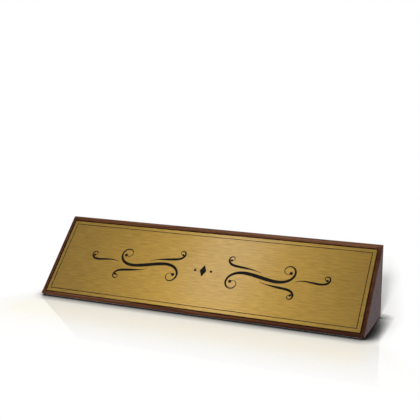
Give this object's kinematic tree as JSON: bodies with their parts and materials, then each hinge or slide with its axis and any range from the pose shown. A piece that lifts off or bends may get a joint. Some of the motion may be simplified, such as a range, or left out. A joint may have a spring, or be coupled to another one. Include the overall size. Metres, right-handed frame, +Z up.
{
  "type": "desk name plate",
  "caption": "Free-standing hardwood wedge with a brushed brass plate let into its sloping face, which shows a name to a visitor across a desk.",
  "frame": {"origin": "on the surface that the felt rests on, under the middle of the block's length and depth", "axes": "+X along the plate, -Y towards the reader, +Z up"},
  "size_m": [0.254, 0.0516, 0.053],
  "materials": {
    "hardwood": "dark red-brown hardwood under satin lacquer",
    "brass": "brushed along its length, satin",
    "enamel": "black enamel fill, semi-gloss",
    "tape": "white double-sided tape",
    "felt": "black pressed felt"
  },
  "bodies": {
    "root": {"wedge_block": "hardwood", "name_plate": "brass", "border_enamel": "enamel", "upper_tape_strip": "tape", "lower_tape_strip": "tape", "base_felt": "felt"}
  },
  "joints": []
}
